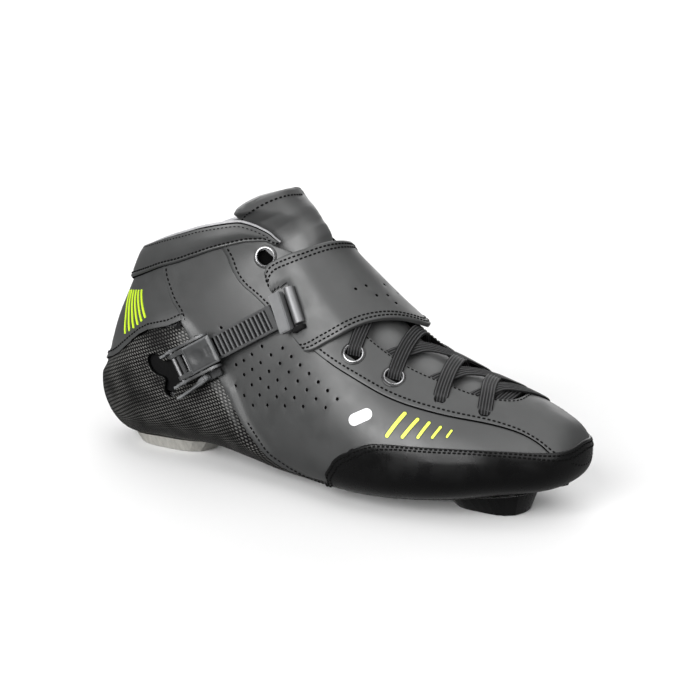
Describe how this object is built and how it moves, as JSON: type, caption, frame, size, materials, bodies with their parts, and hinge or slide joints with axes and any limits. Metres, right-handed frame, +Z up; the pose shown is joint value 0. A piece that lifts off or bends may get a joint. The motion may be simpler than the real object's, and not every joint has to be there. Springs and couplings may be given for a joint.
{
  "type": "speed skate boot",
  "caption": "Low speed-skating boot with carbon shell, laced leather upper, ratchet instep strap and two underfoot frame mounts.",
  "frame": {"origin": "centre of the heel mounting face, in the plane of both mounting faces", "axes": "+X towards the toe, +Y to the medial side, +Z up"},
  "size_m": [0.2867, 0.0971, 0.1509],
  "materials": {
    "carbon": "2x2 carbon weave under clear resin",
    "mount_block": "matte composite",
    "leather": "matt black microfibre leather",
    "rand": "semi-gloss black leather",
    "lining": "padded mesh lining",
    "footbed": "brushed fabric on foam",
    "lace": "flat braided lace",
    "dark_plastic": "satin moulded plastic",
    "ladder": "flexible moulded strap",
    "steel": "satin steel",
    "insert": "machined",
    "piping": "silver-grey piping"
  },
  "bodies": {
    "boot": {"carbon_shell": "carbon", "heel_mount_block": "mount_block", "front_mount_block": "carbon", "heel_insert": "insert", "front_insert": "insert", "lining": "lining", "footbed": "footbed", "heel_panel": "leather", "lateral_quarter": "leather", "medial_quarter": "leather", "eyestay": "leather", "collar_band": "leather", "collar_piping": "piping", "toe_rand": "rand", "tongue": "leather", "instep_strap": "leather", "strap_anchor_screw": "steel", "recess_plate": "dark_plastic", "buckle_rivet": "steel", "eyelet_lateral_1": "steel", "eyelet_lateral_2": "steel", "eyelet_lateral_3": "steel", "eyelet_medial_1": "steel", "eyelet_medial_2": "steel", "eyelet_medial_3": "steel", "lace_1": "lace", "lace_2": "lace", "lace_3": "lace", "lace_4": "lace", "lace_5": "lace"},
    "buckle": {"buckle_base": "dark_plastic", "lever_pin": "steel", "pawl_spring": "steel", "release_pin": "steel"},
    "lever": {"buckle_lever": "dark_plastic"},
    "pawl": {"pawl": "steel"},
    "release": {"release_lever": "dark_plastic"},
    "ladder": {"ladder_strap": "ladder", "end_block": "dark_plastic", "strap_pin": "steel"}
  },
  "joints": [
    {"name": "buckle_swivel", "type": "hinge", "parent": "boot", "child": "buckle", "pos_m": [0.03853, -0.03846, 0.06148], "axis": [0.0733, -0.9964, 0.043], "range_deg": [-4, 4]},
    {"name": "buckle_lever", "type": "hinge", "parent": "buckle", "child": "lever", "pos_m": [0.03206, -0.04472, 0.05769], "axis": [0.5064, 0, -0.8623], "range_deg": [0, 75]},
    {"name": "pawl_lift", "type": "hinge", "parent": "buckle", "child": "pawl", "pos_m": [0.04231, -0.0428, 0.0637], "axis": [0.5064, 0, -0.8623], "range_deg": [0, 7], "stiffness_Nm_per_rad": 0.01},
    {"name": "release_squeeze", "type": "hinge", "parent": "buckle", "child": "release", "pos_m": [0.04721, -0.0407, 0.05301], "axis": [-0.0733, 0.9964, -0.043], "range_deg": [0, 7], "stiffness_Nm_per_rad": 0.01},
    {"name": "ladder_slide", "type": "slide", "parent": "boot", "child": "ladder", "axis": [-0.8592, -0.085, -0.5045], "range_m": [-0.00275, 0.00825]}
  ]
}
